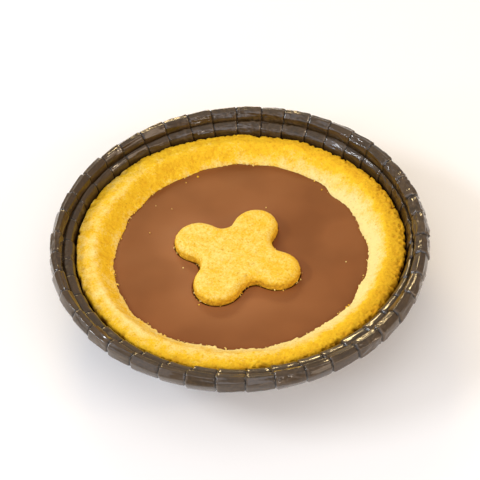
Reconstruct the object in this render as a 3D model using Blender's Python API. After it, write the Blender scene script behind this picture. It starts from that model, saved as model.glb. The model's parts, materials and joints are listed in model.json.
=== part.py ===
"""Round tartlet in its pleated paper baking case.

Four solids: the paper case with a rolled rim, the shortcrust shell, the chocolate filling with a
shallow pocket, and the four-lobed biscuit that sits in the pocket. Lengths are in millimetres up to
the moment a mesh is made. Angles run anticlockwise seen from above, with 0 along +X.
"""

import math
import random

import bmesh
import bpy
import numpy as np

MM = 0.001

# Paper case: overall size
RIM_RADIUS = 60.0
CASE_HEIGHT = 22.1
BASE_RADIUS = 48.0
PAPER = 0.8

# Rolled rim: an upright oval roll
ROLL_HALF_WIDTH = 2.2
ROLL_HALF_HEIGHT = 2.95
ROLL_RADIUS = RIM_RADIUS - ROLL_HALF_WIDTH
ROLL_HEIGHT = CASE_HEIGHT - ROLL_HALF_HEIGHT
ROLL_ANGLES = (170, 140, 115, 90, 60, 30, 0, -30, -60, -90, -125)
# How much of the groove's shift each of those points takes
ROLL_GROOVE = (1.0, 0.8, 0.5, 0.2, 0.0, 0.0, 0.0, 0.0, 0.0, 0.0, 0.0)

# Flat band between the shell and the roll, where the wall turns outwards
BAND_RADIUS = 52.2
BAND_HEIGHT = 13.4
BAND_WIDTH = 3.4
BAND_RISE = 5.1
# Its upper side: (share of the width, of the rise, of the folds' relief, of the push, of the groove)
BAND_SECTION = (
    (0.0, 0.0, 1.0, 1.0, 0.0),
    (0.05, 0.43, 1.0, 1.0, 0.0),
    (0.2, 0.75, 1.0, 0.9, 0.0),
    (0.44, 0.92, 1.0, 0.6, 0.2),
    (0.76, 1.0, 1.0, 0.2, 0.8),
    (0.92, 0.97, 0.8, 0.0, 1.0),
    (1.0, 0.84, 0.4, 0.0, 1.0),
)
# Its underside: (share of the width, of the rise, of the folds' relief, of the push)
BAND_UNDERSIDE = ((0.87, 0.66, 0.3, 0.3), (0.52, 0.19, 0.6, 0.6))
# The groove between band and roll lies further out on the left: (count, size, phase)
GROOVE_SHIFT = ((1, 0.5, math.radians(180)),)

# Wall and base of the case
WALL_FOOT_INSET = 1.2
WALL_FOOT_RADIUS = BASE_RADIUS - WALL_FOOT_INSET
WALL_FOOT_HEIGHT = 1.6
FOOT_CHAMFER = 0.9
# How much of the shell's push the wall takes half way up
HALF_PUSH = 0.5

# Shares of the folds' relief: all of it on the roll and band, less down the wall
WALL_RELIEF = 0.8
EDGE_RELIEF = 0.3

# Folds of the paper
PLEATS = 42
PLEAT_PHASE = math.radians(3.3)
PLEAT_JITTER = math.radians(0.5)
PLEAT_DRIFTS = ((1, math.radians(0.75), math.radians(172)), (2, math.radians(0.63), math.radians(-67)))
PLEAT_SEED = 42
FOLD_HALF_GAP = math.radians(0.4)
FOLD_STEP = 0.34
FOLD_UNEVEN = 0.12

# Shortcrust shell
CRUST_OFFSET = 0.35
CRUST_EDGE_RADIUS = 51.75
CRUST_EDGE_HEIGHT = 15.0
CREST_RADIUS = 46.8
CREST_HEIGHT = 16.3
CRUST_FLOOR = 5.0
CRUST_CLEARANCE = 1.15
CRUST_UNDERSIDE = PAPER + 0.3
CRUST_COLUMNS = 96
EDGE_WAVE = 0.16
EDGE_COUNTS = (4, 11, 17, 26, 35)
# The shell was pressed in by hand, and the case gives way to it: (count, size, phase)
EDGE_DRIFTS = (
    (0, 0.3, 0.0),
    (1, 0.42, math.radians(-155)),
    (2, 0.45, math.radians(23)),
    (3, 0.4, math.radians(-44)),
)
LIP_WAVE = 0.36
LIP_COUNTS = (5, 8, 13, 17, 23)
LIP_DRIFTS = (
    (0, 0.3, 0.0),
    (1, 0.33, math.radians(142)),
    (2, 0.25, math.radians(-124)),
    (3, 0.5, math.radians(89)),
)
CREST_WAVE = 0.22
CREST_COUNTS = (3, 7, 12, 19, 29)
CRAG = 0.12
CRUST_SEED = 7
LIP_BULGES = ((math.radians(38), 0.9), (math.radians(9), 1.0))
LIP_BULGE_WIDTH = math.radians(4.5)

# Section of the shell. Under the filling: (way in from its edge, share of its depth, lip wave)
CRUST_UNDER_FILL = ((4.0, 0.0, 0.0), (2.0, 0.2, 0.3), (0.9, 0.62, 0.8))
# Inner slope: (share of the way out, share of the rise, lip wave, crest wave)
CRUST_SLOPE = (
    (0.0, 0.0, 1.0, 0.0),
    (0.3, 0.36, 0.8, 0.2),
    (0.6, 0.7, 0.5, 0.6),
    (0.84, 0.93, 0.3, 1.0),
    (1.0, 1.0, 0.1, 1.0),
)
# Top of the rim: (share of the way to the edge, drop, crest wave, edge wave)
CRUST_TOP = ((0.4, 0.0, 1.0, 0.2), (0.75, 0.15, 0.8, 0.6))
# Outer corner: (way in from the edge, way above it, crest wave)
CRUST_CORNER = ((0.3, 0.7, 0.5), (0.0, -0.1, 0.0))
CRUST_SIDE_HEIGHT = 8.0
CRUST_SIDE_WAVE = 0.3
CRUST_FOOT_RISE = 1.0
CRUST_FOOT_TURN = 0.8

# Chocolate filling
FILL_RADIUS = 40.5
FILL_HEIGHT = 11.6
FILL_GAP = 0.55
FILL_SWELL = 0.12
FILL_COUNTS = (1, 2, 3, 5)
FILL_SEED = 19
FILL_RINGS = (0.25, 0.55, 0.85)
# Side under the surface: (way in from the edge, share of the depth, lip wave)
FILL_SIDE = ((0.9, 0.38, 0.8), (2.0, 0.8, 0.3), (4.0, 0.95, 0.0))

# Biscuit: four round lobes on a round middle, each lobe (direction, reach, radius)
BISCUIT_CENTRE = (-1.2, -3.7)
BISCUIT_MIDDLE_RADIUS = 11.8
BISCUIT_MIDDLE = (0.2, 0.5)
BISCUIT_LOBES = (
    (math.radians(62.5), 21.7, 7.1),
    (math.radians(146.5), 22.0, 7.5),
    (math.radians(240.0), 20.5, 7.6),
    (math.radians(332.0), 21.4, 7.1),
)
BISCUIT_BLEND = 1.45
BISCUIT_FURTHEST = 30.0
HALVINGS = 24
BISCUIT_COLUMNS = 84
BISCUIT_PROUD = 3.7
BISCUIT_SUNK = 1.0
# Foot: (grow, share of the sunk depth). Side: (grow, share of the proud height)
BISCUIT_FOOT = ((-0.9, 1.0), (-0.25, 0.6))
BISCUIT_SIDE = ((0.0, 0.25), (-0.2, 0.55), (-0.8, 0.77), (-2.0, 0.92))
# Top: (share of the outline, share of the proud height)
BISCUIT_TOP = ((0.72, 0.98), (0.38, 1.0))
BISCUIT_CRAG = 0.1
BISCUIT_SEED = 5
POCKET_GAP = 0.45
POCKET_FLOOR_GAP = 0.3

# Finishes: colour (linear), roughness
PAPER_FINISH = ("glossy_brown_paper", (0.085, 0.056, 0.036), 0.35)
CRUST_FINISH = ("baked_shortcrust", (0.86, 0.53, 0.1), 0.85)
CHOCOLATE_FINISH = ("milk_chocolate", (0.3, 0.115, 0.038), 0.4)
BISCUIT_FINISH = ("shortbread_biscuit", (0.9, 0.58, 0.13), 0.85)


def arc(radius, height, half_width, half_height, degrees):
    """Points of an upright oval at the given angles, as (radius, height)."""
    turns = [math.radians(d) for d in degrees]
    return [(radius + half_width * math.cos(t), height + half_height * math.sin(t)) for t in turns]


def circle_wave(seed, counts, amplitude):
    """A smooth closed wave round the axis: sines of the given counts, with phases drawn from the seed."""
    draws = random.Random(seed)
    terms = [(count, draws.uniform(0, 2 * math.pi)) for count in counts]
    scale = amplitude / math.sqrt(len(terms))
    return lambda angles: scale * sum(np.sin(count * angles + phase) for count, phase in terms)


def drift(terms, angles):
    """Slow cosines round the axis, added up: each is (count, size, phase)."""
    return sum(size * np.cos(count * angles + phase) for count, size, phase in terms)


def turned(angles):
    """The angles brought into the half turn either side of zero."""
    return (angles + math.pi) % (2 * math.pi) - math.pi


def outward(profile):
    """Unit normals of a profile that runs from the inside top over the rim to the underside."""
    points = np.array(profile)
    along = np.gradient(points, axis=0)
    normals = np.stack([-along[:, 1], along[:, 0]], axis=1)
    return normals / np.linalg.norm(normals, axis=1, keepdims=True)


def closed_solid(name, rings, first_pole, last_pole, finish, parent, place=(0.0, 0.0, 0.0)):
    """One closed body from rings of points, each end shut by a fan to its pole."""
    count, columns = rings.shape[:2]
    model = bmesh.new()
    grid = [[model.verts.new(rings[i, j] * MM) for j in range(columns)] for i in range(count)]
    poles = [model.verts.new([value * MM for value in pole]) for pole in (first_pole, last_pole)]
    for j in range(columns):
        k = (j + 1) % columns
        model.faces.new((poles[0], grid[0][j], grid[0][k]))
        model.faces.new((poles[1], grid[-1][k], grid[-1][j]))
        for i in range(count - 1):
            model.faces.new((grid[i][j], grid[i + 1][j], grid[i + 1][k], grid[i][k]))
    bmesh.ops.recalc_face_normals(model, faces=model.faces)
    mesh = bpy.data.meshes.new(name)
    model.to_mesh(mesh)
    model.free()
    mesh.shade_smooth()
    mesh.materials.append(material(*finish))
    body = bpy.data.objects.new(name, mesh)
    bpy.context.scene.collection.objects.link(body)
    body.parent = parent
    body.location = [value * MM for value in place]
    return body


def material(name, colour, roughness):
    """A Principled material of one colour and roughness."""
    made = bpy.data.materials.new(name)
    made.use_nodes = True
    shader = made.node_tree.nodes["Principled BSDF"]
    shader.inputs["Base Color"].default_value = (*colour, 1.0)
    shader.inputs["Roughness"].default_value = roughness
    shader.inputs["Metallic"].default_value = 0.0
    return made


def crease_angles():
    """Where each fold of the paper starts: evenly round, with a slow drift and a little jitter."""
    draws = random.Random(PLEAT_SEED)
    even = np.arange(PLEATS) * 2 * math.pi / PLEATS
    jitter = np.array([draws.uniform(-PLEAT_JITTER, PLEAT_JITTER) for _ in range(PLEATS)])
    return even + PLEAT_PHASE + drift(PLEAT_DRIFTS, even) + jitter


def case_profile():
    """The case's section from its floor up the inside, over the rolled rim and down the outside.

    Each point is (radius, height, share of the folds' relief, of the shell's push, of the groove's
    shift).
    """
    middle = (WALL_FOOT_RADIUS + BAND_RADIUS) / 2
    half_up = (WALL_FOOT_HEIGHT + BAND_HEIGHT) / 2

    def on_band(out, up):
        return BAND_RADIUS + out * BAND_WIDTH, BAND_HEIGHT + up * BAND_RISE

    inner_wall = [
        (WALL_FOOT_RADIUS - FOOT_CHAMFER, PAPER, 0.0, 0.0, 0.0),
        (WALL_FOOT_RADIUS, WALL_FOOT_HEIGHT, EDGE_RELIEF, 0.0, 0.0),
        (middle, half_up, WALL_RELIEF, HALF_PUSH, 0.0),
    ]
    band = [(*on_band(out, up), *shares) for out, up, *shares in BAND_SECTION]
    oval = arc(ROLL_RADIUS, ROLL_HEIGHT, ROLL_HALF_WIDTH, ROLL_HALF_HEIGHT, ROLL_ANGLES)
    roll = [(*point, 1.0, 0.0, groove) for point, groove in zip(oval, ROLL_GROOVE)]
    underside = [(*on_band(out, up), *shares, 0.0) for out, up, *shares in BAND_UNDERSIDE]
    outer_wall = [
        (middle + PAPER, half_up - PAPER / 2, WALL_RELIEF, HALF_PUSH, 0.0),
        (BASE_RADIUS, WALL_FOOT_HEIGHT, EDGE_RELIEF, 0.0, 0.0),
        (BASE_RADIUS - FOOT_CHAMFER / 2, PAPER / 2, 0.0, 0.0, 0.0),
        (BASE_RADIUS - FOOT_CHAMFER - PAPER / 2, 0.0, 0.0, 0.0, 0.0),
    ]
    return inner_wall + band + roll + underside + outer_wall


def edge_shift(angles):
    """How far the shell's outer edge lies outside its own circle round the case's axis."""
    return CRUST_OFFSET * np.cos(angles) + drift(EDGE_DRIFTS, angles)


def paper_case(parent):
    """The pleated case: its section turned round the axis, with a step at every fold.

    Each fold starts proud, runs straight and ends low, under the start of the next one. The shell
    pushes the wall and the band out as far as its own edge wanders.
    """
    profile = np.array(case_profile())
    normals = outward(profile[:, :2])
    starts = crease_angles()
    ends = np.append(starts[1:], starts[0] + 2 * math.pi)
    draws = random.Random(PLEAT_SEED + 1)
    uneven = np.array([draws.uniform(-FOLD_UNEVEN, FOLD_UNEVEN) for _ in range(PLEATS)])
    angles = np.stack([starts + FOLD_HALF_GAP, (starts + ends) / 2, ends - FOLD_HALF_GAP], axis=1)
    rise = np.array([0.0, -FOLD_STEP / 2, -FOLD_STEP]) + uneven[:, None] - FOLD_UNEVEN
    angles, rise = angles.reshape(-1), rise.reshape(-1)
    lift = profile[:, 2, None] * rise[None, :]
    pushed = profile[:, 3, None] * edge_shift(angles) + profile[:, 4, None] * drift(GROOVE_SHIFT, angles)
    radius = profile[:, 0, None] + pushed + normals[:, 0, None] * lift
    height = profile[:, 1, None] + normals[:, 1, None] * lift
    rings = np.stack([radius * np.cos(angles), radius * np.sin(angles), height], axis=2)
    return closed_solid("paper_case", rings, (0, 0, PAPER), (0, 0, 0), PAPER_FINISH, parent)


def lip_wave(angles):
    """How far the shell's inner edge wanders in and out, with two bulges that lean over the filling."""
    wave = circle_wave(CRUST_SEED, LIP_COUNTS, LIP_WAVE)(angles)
    wave = wave + drift(LIP_DRIFTS, angles)
    for direction, reach in LIP_BULGES:
        wave = wave - reach * np.exp(-((turned(angles - direction) / LIP_BULGE_WIDTH) ** 2))
    return wave


def crust_section():
    """The shell's section from its floor up the inside, over the crest and down the outer side.

    Each point is (radius, height, share of the lip wave, of the crest wave, of the edge wave).
    """
    slope = (BAND_RADIUS - WALL_FOOT_RADIUS) / (BAND_HEIGHT - WALL_FOOT_HEIGHT)

    def beside_wall(height):
        return WALL_FOOT_RADIUS + slope * (height - WALL_FOOT_HEIGHT) - CRUST_CLEARANCE

    drop = FILL_HEIGHT - CRUST_FLOOR
    rise = CREST_HEIGHT - FILL_HEIGHT
    run = CREST_RADIUS - FILL_RADIUS
    width = CRUST_EDGE_RADIUS - CREST_RADIUS
    section = []
    for way, up, lip in CRUST_UNDER_FILL:
        section.append((FILL_RADIUS - way, CRUST_FLOOR + up * drop, lip, 0.0, 0.0))
    for out, up, lip, crest in CRUST_SLOPE:
        section.append((FILL_RADIUS + out * run, FILL_HEIGHT + up * rise, lip, crest, 0.0))
    for out, down, crest, edge in CRUST_TOP:
        section.append((CREST_RADIUS + out * width, CREST_HEIGHT - down, 0.0, crest, edge))
    for way, up, crest in CRUST_CORNER:
        section.append((CRUST_EDGE_RADIUS - way, CRUST_EDGE_HEIGHT + up, 0.0, crest, 1.0))
    foot = WALL_FOOT_HEIGHT + CRUST_FOOT_RISE
    section.append((beside_wall(CRUST_SIDE_HEIGHT), CRUST_SIDE_HEIGHT, 0.0, 0.0, CRUST_SIDE_WAVE))
    section.append((beside_wall(foot), foot, 0.0, 0.0, 0.0))
    section.append((beside_wall(WALL_FOOT_HEIGHT) - CRUST_FOOT_TURN, CRUST_UNDERSIDE, 0.0, 0.0, 0.0))
    return section


def crust(parent):
    """The shortcrust shell: uneven crest, wandering inner lip and a craggy outer edge."""
    section = np.array(crust_section())
    angles = np.arange(CRUST_COLUMNS) * 2 * math.pi / CRUST_COLUMNS
    lip = lip_wave(angles)
    crest = circle_wave(CRUST_SEED + 1, CREST_COUNTS, CREST_WAVE)(angles)
    edge = circle_wave(CRUST_SEED + 2, EDGE_COUNTS, EDGE_WAVE)(angles) + drift(EDGE_DRIFTS, angles)
    radius = section[:, 0, None] + section[:, 2, None] * lip + section[:, 4, None] * edge
    height = section[:, 1, None] + section[:, 3, None] * crest
    crags = random.Random(CRUST_SEED + 3)
    rough = np.array([[crags.uniform(-CRAG, CRAG) for _ in angles] for _ in section])
    height = height + rough * section[:, 3, None]
    rings = np.stack([radius * np.cos(angles), radius * np.sin(angles), height], axis=2)
    poles = (0, 0, CRUST_FLOOR), (0, 0, CRUST_UNDERSIDE)
    return closed_solid("crust", rings, *poles, CRUST_FINISH, parent, (CRUST_OFFSET, 0, 0))


def biscuit_outline(angles, grow=0.0):
    """Radius of the biscuit's outline round its own centre, with every round grown by the same amount.

    Each disc fades with distance past its edge as exp(-distance / blend). The outline is where the
    sum over all discs falls to 1, so the necks are rounded. It is found by halving along each ray.
    """
    discs = [(*BISCUIT_MIDDLE, BISCUIT_MIDDLE_RADIUS)]
    for direction, reach, lobe in BISCUIT_LOBES:
        discs.append(((reach - lobe) * math.cos(direction), (reach - lobe) * math.sin(direction), lobe))
    near, far = np.zeros(angles.shape), np.full(angles.shape, BISCUIT_FURTHEST)
    for _ in range(HALVINGS):
        radius = (near + far) / 2
        total = np.zeros(angles.shape)
        for x, y, disc in discs:
            away = np.hypot(radius * np.cos(angles) - x, radius * np.sin(angles) - y)
            total += np.exp((disc + grow - away) / BISCUIT_BLEND)
        near, far = np.where(total > 1, radius, near), np.where(total > 1, far, radius)
    return far


def filling(parent):
    """The chocolate: it follows the shell's inside, swells softly and holds the biscuit's pocket."""
    angles = np.arange(CRUST_COLUMNS) * 2 * math.pi / CRUST_COLUMNS
    lip = lip_wave(angles)
    drop = FILL_HEIGHT - CRUST_FLOOR
    around = np.stack([np.cos(angles), np.sin(angles)], axis=1)
    pocket_centre = np.array([BISCUIT_CENTRE[0] - CRUST_OFFSET, BISCUIT_CENTRE[1]])
    pocket_rim = pocket_centre + around * biscuit_outline(angles, POCKET_GAP)[:, None]
    pocket_foot = pocket_centre + around * biscuit_outline(angles, POCKET_GAP / 2)[:, None]
    pocket_floor = FILL_HEIGHT - BISCUIT_SUNK - POCKET_FLOOR_GAP
    outer = around * (FILL_RADIUS - FILL_GAP + lip)[:, None]
    swell = circle_wave(FILL_SEED, FILL_COUNTS, FILL_SWELL)(angles)

    def level(points, height):
        return np.column_stack([points, np.broadcast_to(height, len(points))])

    rings = [level(pocket_foot, pocket_floor), level(pocket_rim, FILL_HEIGHT)]
    for share in FILL_RINGS:
        between = pocket_rim + (outer - pocket_rim) * share
        rings.append(level(between, FILL_HEIGHT + swell * math.sin(math.pi * share)))
    rings.append(level(outer, FILL_HEIGHT))
    for step_in, down, share in FILL_SIDE:
        radius = FILL_RADIUS - FILL_GAP - step_in + share * lip
        rings.append(level(around * radius[:, None], FILL_HEIGHT - down * drop))
    poles = (*pocket_centre, pocket_floor), (0, 0, rings[-1][0, 2])
    return closed_solid("filling", np.array(rings), *poles, CHOCOLATE_FINISH, parent, (CRUST_OFFSET, 0, 0))


def cookie(parent):
    """The biscuit: a rounded side and a softly domed top over the four-lobed outline."""
    angles = np.arange(BISCUIT_COLUMNS) * 2 * math.pi / BISCUIT_COLUMNS
    around = np.stack([np.cos(angles), np.sin(angles)], axis=1)
    side = [(grow, -share * BISCUIT_SUNK) for grow, share in BISCUIT_FOOT]
    side += [(grow, share * BISCUIT_PROUD) for grow, share in BISCUIT_SIDE]
    rings = [(biscuit_outline(angles, grow), height) for grow, height in side]
    rings += [(rings[-1][0] * share, height * BISCUIT_PROUD) for share, height in BISCUIT_TOP]
    crags = random.Random(BISCUIT_SEED)
    rows = []
    for index, (radius, height) in enumerate(rings):
        rough = np.array([crags.uniform(-BISCUIT_CRAG, BISCUIT_CRAG) for _ in angles])
        rough = rough * (index >= len(BISCUIT_FOOT))
        rows.append(np.column_stack([around * (radius + rough)[:, None], height + rough]))
    poles = (0, 0, -BISCUIT_SUNK), (0, 0, BISCUIT_PROUD)
    place = (*BISCUIT_CENTRE, FILL_HEIGHT)
    return closed_solid("cookie", np.array(rows), *poles, BISCUIT_FINISH, parent, place)


def main():
    for old in list(bpy.data.objects):
        bpy.data.objects.remove(old, do_unlink=True)
    tartlet = bpy.data.objects.new("tartlet", None)
    bpy.context.scene.collection.objects.link(tartlet)
    for make in (paper_case, crust, filling, cookie):
        make(tartlet)


main()
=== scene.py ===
"""Looks of a round chocolate tartlet in its pleated case of coated brown paper.

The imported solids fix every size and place. Each one is replaced by a finer surface of the same form:
the paper with its overlapping folds and wrinkles, the crumb of the pastry, the soft swell of the set
chocolate, and the sandy biscuit. Lengths are in millimetres until a mesh is made. Angles run
anticlockwise seen from above, with 0 along +X.
"""

import json
import logging
import math
import random
from collections.abc import Callable, Mapping, Sequence
from dataclasses import dataclass, field
from enum import Enum
from itertools import product

import bmesh
import bpy
import numpy as np
from mathutils import Matrix, Vector

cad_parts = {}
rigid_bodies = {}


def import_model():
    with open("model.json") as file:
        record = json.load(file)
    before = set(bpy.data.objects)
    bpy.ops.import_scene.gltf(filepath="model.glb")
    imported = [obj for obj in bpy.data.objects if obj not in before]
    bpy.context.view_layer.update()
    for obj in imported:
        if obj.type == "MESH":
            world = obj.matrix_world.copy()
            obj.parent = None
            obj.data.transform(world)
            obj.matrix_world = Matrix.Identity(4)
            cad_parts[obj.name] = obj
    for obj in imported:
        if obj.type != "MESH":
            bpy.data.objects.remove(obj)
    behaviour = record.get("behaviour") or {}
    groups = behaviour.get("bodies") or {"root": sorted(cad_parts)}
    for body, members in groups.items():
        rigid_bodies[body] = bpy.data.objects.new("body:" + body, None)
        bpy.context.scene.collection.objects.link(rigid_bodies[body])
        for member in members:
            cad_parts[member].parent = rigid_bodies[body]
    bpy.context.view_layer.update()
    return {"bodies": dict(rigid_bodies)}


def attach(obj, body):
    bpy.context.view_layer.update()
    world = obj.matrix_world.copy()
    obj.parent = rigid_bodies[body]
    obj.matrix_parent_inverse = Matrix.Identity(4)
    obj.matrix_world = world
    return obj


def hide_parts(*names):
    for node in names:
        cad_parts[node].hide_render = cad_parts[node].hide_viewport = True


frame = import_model()
BODY = next(iter(frame["bodies"]))

MM = 0.001
TURN = 2 * math.pi
LOG = logging.getLogger("tartlet")

# Slow cosines round the axis: how often each repeats in a turn, its size and its phase in degrees
Waves = tuple[tuple[int, float, float], ...]


class Slot(Enum):
    """The record's material slots."""

    PAPER = "case_paper"
    PASTRY = "pastry"
    CHOCOLATE = "chocolate"
    BISCUIT = "biscuit"


def linear(code: str) -> tuple[float, float, float, float]:
    """Turn an sRGB colour into linear light by the sRGB curve.

    Args:
        code: six hex digits, such as "c08040".

    Returns:
        Red, green, blue and an alpha of 1.
    """
    shares = [int(code[start : start + 2], 16) / 255 for start in (0, 2, 4)]
    red, green, blue = [s / 12.92 if s <= 0.04045 else ((s + 0.055) / 1.055) ** 2.4 for s in shares]
    return red, green, blue, 1.0


def circle_wave(seed: int, counts: Sequence[int], amplitude: float) -> Callable[[np.ndarray], np.ndarray]:
    """Make a smooth closed wave round the axis: a sum of sines, their phases drawn from the seed.

    Args:
        seed: what the phases are drawn from.
        counts: how many times each sine repeats in a turn.
        amplitude: the size of the whole wave, shared among the sines.

    Returns:
        A function from angles to the wave's values.
    """
    draws = random.Random(seed)
    terms = [(count, draws.uniform(0, TURN)) for count in counts]
    scale = amplitude / math.sqrt(len(terms))
    return lambda angles: scale * sum(np.sin(count * angles + phase) for count, phase in terms)


def drift(terms: Waves, angles: np.ndarray) -> np.ndarray:
    """Add up slow cosines round the axis: size times the cosine of count times the angle plus phase.

    Args:
        terms: count, size and phase of each cosine.
        angles: where to read the sum.

    Returns:
        The sum for each angle.
    """
    return sum(size * np.cos(count * angles + math.radians(phase)) for count, size, phase in terms)


def turned(angles: np.ndarray) -> np.ndarray:
    """Bring angles into the half turn either side of zero."""
    return (angles + math.pi) % TURN - math.pi


def smooth(values: np.ndarray, low: float, high: float) -> np.ndarray:
    """Rise from 0 at low to 1 at high along the curve 3x^2 - 2x^3."""
    share = np.clip((values - low) / (high - low), 0.0, 1.0)
    return share * share * (3 - 2 * share)


def hump(off: np.ndarray, width: float) -> np.ndarray:
    """A soft hump that is 1 in its middle and falls off as exp(-(off / width)^2)."""
    return np.exp(-((off / width) ** 2))


def compass(count: int) -> tuple[np.ndarray, np.ndarray]:
    """Evenly spaced angles of a full turn, and the unit direction of each."""
    angles = np.arange(count) * TURN / count
    return angles, np.stack([np.cos(angles), np.sin(angles)], axis=-1)


def stretches(points: np.ndarray) -> np.ndarray:
    """The distance from each point to the next, by the first two columns."""
    return np.linalg.norm(np.diff(points[:, :2], axis=0), axis=1)


def flowing(points: np.ndarray, rows: Sequence[int]) -> np.ndarray:
    """Carry a smooth line through control points: a cubic Hermite curve in each stretch.

    The slope at a control point is the one of the parabola through it and its two neighbours. The
    way along the line is measured by the first two columns.

    Args:
        points: control points, one a row, with any number of columns.
        rows: how many samples each stretch between two points gets.

    Returns:
        The samples, one a row, with the same columns.
    """
    spans = stretches(points)
    along = np.append(0.0, np.cumsum(spans))
    slopes = np.gradient(points, along, axis=0)
    places = [index + np.arange(count) / count for index, count in enumerate(rows)]
    place = np.append(np.concatenate(places), len(points) - 1.0)
    index = np.minimum(place.astype(int), len(points) - 2)
    u = (place - index)[:, None]
    span = spans[index][:, None]
    start = (1 + 2 * u) * (1 - u) ** 2 * points[index] + u * (1 - u) ** 2 * span * slopes[index]
    end = u * u * (3 - 2 * u) * points[index + 1] - u * u * (1 - u) * span * slopes[index + 1]
    return start + end


class Grain:
    """Seeded noise that fills space: a random slope at each corner of a cubic lattice, blended between."""

    LATTICE = 56
    FULL_SCALE = 1.7

    def __init__(self, seed: int) -> None:
        """Draw the lattice's slopes from the seed."""
        slopes = np.random.default_rng(seed).normal(size=(self.LATTICE,) * 3 + (3,))
        self.slopes = slopes / np.linalg.norm(slopes, axis=-1, keepdims=True)

    def at(self, points: np.ndarray, size: float | Sequence[float]) -> np.ndarray:
        """Read the noise: each of the 8 corners of a point's cell gives its slope times the way to it.

        The eight values are weighted along smooth curves and added up.

        Args:
            points: places in mm, with x, y and z in the last axis.
            size: a cell's size in mm, or its three sizes along x, y and z.

        Returns:
            One value between -1 and 1 for each point.
        """
        scaled = points / np.asarray(size)
        cell = np.floor(scaled).astype(int)
        part = scaled - cell
        eased = part * part * (3 - 2 * part)
        total = np.zeros(points.shape[:-1])
        for corner in product((0, 1), repeat=3):
            x, y, z = np.moveaxis((cell + corner) % self.LATTICE, -1, 0)
            weight = np.prod(np.where(corner, eased, 1 - eased), axis=-1)
            total += weight * np.sum(self.slopes[x, y, z] * (part - corner), axis=-1)
        return self.FULL_SCALE * total

    def layers(self, points: np.ndarray, size: float, count: int, fade: float = 0.6) -> np.ndarray:
        """Add up ever finer noise, each layer half the size of the last and fainter by a factor.

        Args:
            points: places in mm, with x, y and z in the last axis.
            size: the coarsest cell's size in mm.
            count: how many layers.
            fade: how much fainter each layer is than the last.

        Returns:
            One value for each point, between about -1 and 1.
        """
        shares = fade ** np.arange(count)
        parts = [share * self.at(points, size / 2**k) for k, share in enumerate(shares)]
        return sum(parts) / shares.sum()


@dataclass(frozen=True)
class Spots:
    """Scattered spots where noise is high: their share rises smoothly as the noise goes from low to full.

    Attributes:
        depth: how much a full spot adds or takes off, in mm.
        size: a cell of the noise in mm, or its three sizes along x, y and z.
        low: the noise where a spot starts.
        full: the noise where it is full.
        shift: how far off in mm the noise is read, so that no two patterns match.
    """

    depth: float
    size: float | tuple[float, float, float]
    low: float
    full: float
    shift: float = 0.0

    def share(self, grain: Grain, points: np.ndarray) -> np.ndarray:
        """How full the spots are at each point, from 0 to 1."""
        return smooth(grain.at(points + self.shift, self.size), self.low, self.full)


@dataclass(frozen=True)
class Swells:
    """Soft swells of a surface or a colour: two layers of noise.

    Attributes:
        depth: their size, in mm or as a share.
        size: the coarser layer's cell in mm.
        shift: how far off in mm the noise is read, so that no two patterns match.
    """

    depth: float
    size: float
    shift: float = 0.0

    def at(self, grain: Grain, points: np.ndarray) -> np.ndarray:
        """The swell at each point."""
        return self.depth * grain.layers(points + self.shift, self.size, 2)


def make_piece(
    name: str, points: np.ndarray, faces: list[list[int]], marks: Mapping[str, np.ndarray]
) -> bpy.types.Object:
    """Make a smooth mesh and put it into the scene, at the origin.

    Args:
        name: the piece's name.
        points: corners in mm, one a row.
        faces: the numbers of each face's corners.
        marks: values that the finish reads, one for each corner.

    Returns:
        The new object.
    """
    mesh = bpy.data.meshes.new(name)
    mesh.from_pydata((points * MM).tolist(), [], faces)
    for mark, values in marks.items():
        attribute = mesh.attributes.new(mark, "FLOAT", "POINT")
        attribute.data.foreach_set("value", values.astype(np.float32))
    mesh.shade_smooth()
    piece = bpy.data.objects.new(name, mesh)
    bpy.context.scene.collection.objects.link(piece)
    return piece


@dataclass
class RingSurface:
    """A closed surface of rings, from the middle of its top outwards and round to its underside.

    Attributes:
        name: the piece's name.
        rings: points in mm, by ring, by place round the ring, by x, y and z.
        marks: values that the finish reads, by ring and place round it.
    """

    name: str
    rings: np.ndarray
    marks: dict[str, np.ndarray] = field(default_factory=dict)

    def normals(self) -> np.ndarray:
        """Unit normals: the direction from ring to ring crossed with the direction along the ring.

        Returns:
            One normal for each point of the rings.
        """
        across = np.gradient(self.rings, axis=0)
        along = np.roll(self.rings, -1, axis=1) - np.roll(self.rings, 1, axis=1)
        normal = np.cross(across, along)
        return normal / np.linalg.norm(normal, axis=-1, keepdims=True)

    def push(self, relief: np.ndarray) -> None:
        """Move each point along its normal by the relief, in mm."""
        self.rings = self.rings + self.normals() * relief[..., None]

    def build(self) -> bpy.types.Object:
        """Make the mesh: quads from ring to ring, and a fan to the middle of the first and last ring.

        Returns:
            The new object, at the origin.
        """
        count, columns = self.rings.shape[:2]
        index = np.arange(count * columns).reshape(count, columns)
        after = np.roll(index, -1, axis=1)
        quads = np.stack([index[:-1], index[1:], after[1:], after[:-1]], axis=-1).reshape(-1, 4)
        top, foot = np.full(columns, count * columns), np.full(columns, count * columns + 1)
        caps = (top, index[0], after[0]), (foot, after[-1], index[-1])
        fans = np.vstack([np.stack(cap, 1) for cap in caps])
        points = np.vstack([self.rings.reshape(-1, 3), self.rings[0].mean(0), self.rings[-1].mean(0)])
        marks = {}
        for name, values in self.marks.items():
            spread = np.broadcast_to(values, (count, columns))
            marks[name] = np.append(spread.reshape(-1), [spread[0].mean(), spread[-1].mean()])
        return make_piece(self.name, points, quads.tolist() + fans.tolist(), marks)


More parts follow.
